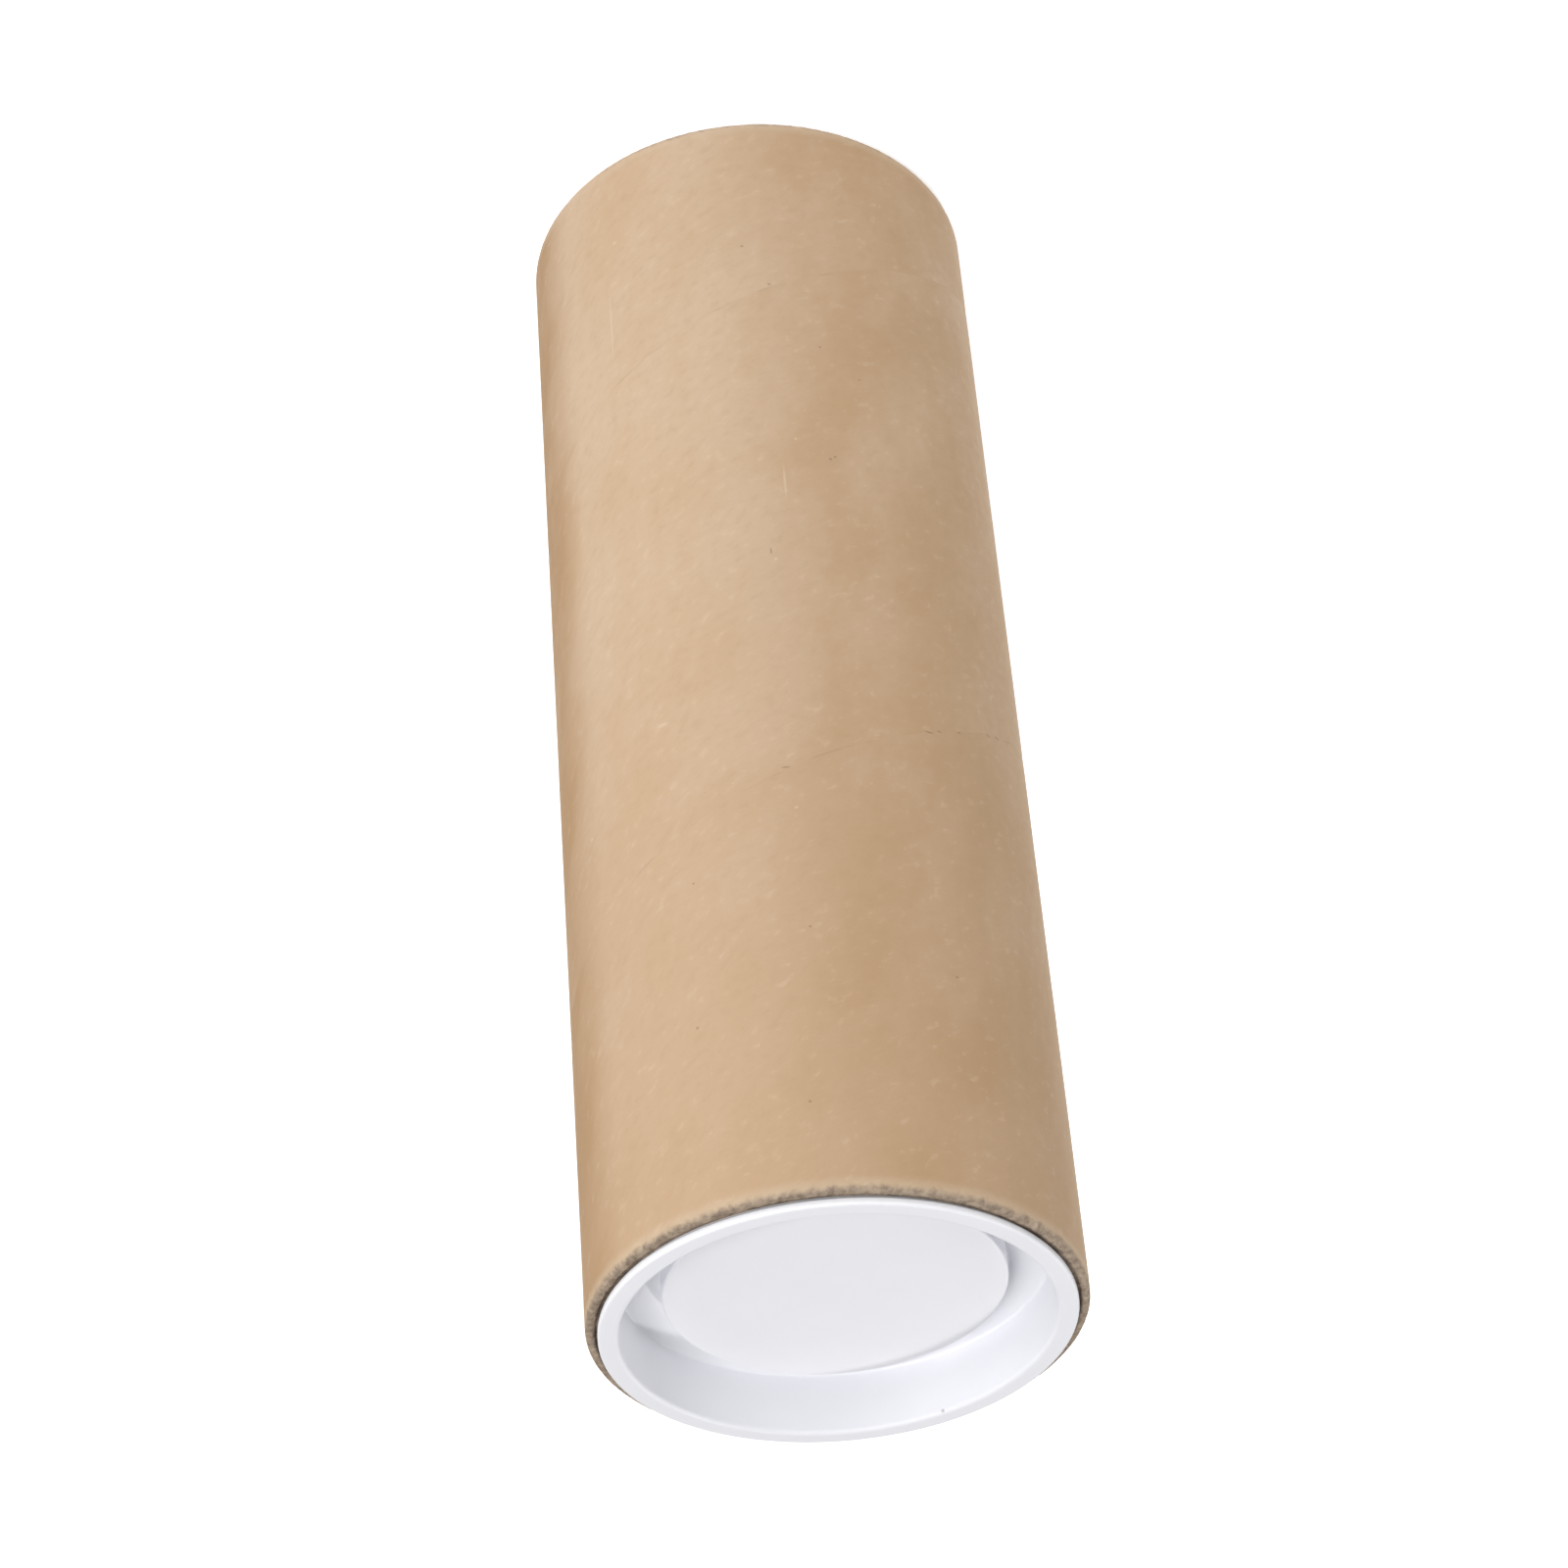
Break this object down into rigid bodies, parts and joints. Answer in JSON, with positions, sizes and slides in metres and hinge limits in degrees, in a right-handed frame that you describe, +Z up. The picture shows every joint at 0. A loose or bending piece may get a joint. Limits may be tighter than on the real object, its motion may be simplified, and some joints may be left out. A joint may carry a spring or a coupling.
{
  "type": "cardboard mailing tube",
  "caption": "Short round cardboard tube for posting rolled papers, closed at both ends by pull-out white plastic plugs with a recessed, stepped face.",
  "frame": {"origin": "middle of the surface that the lower plug's flange rests on", "axes": "+Z up the tube's axis towards the pictured plug; the tube's -Y side is the pictured one"},
  "size_m": [0.054, 0.054, 0.1542],
  "materials": {
    "kraft_cardboard": "plain brown kraft paper, matt, faintly mottled, cut ends greyer and rough",
    "white_plastic": "white moulded polyethylene, satin to semi-gloss"
  },
  "bodies": {
    "tube": {"tube": "kraft_cardboard"},
    "top_cap": {"top_cap": "white_plastic"},
    "bottom_cap": {"bottom_cap": "white_plastic"}
  },
  "joints": [
    {"name": "top_cap_pull", "type": "slide", "parent": "tube", "child": "top_cap", "axis": [0, 0, 1], "range_m": [0, 0.02]},
    {"name": "bottom_cap_pull", "type": "slide", "parent": "tube", "child": "bottom_cap", "axis": [0, 0, -1], "range_m": [0, 0.02]}
  ]
}
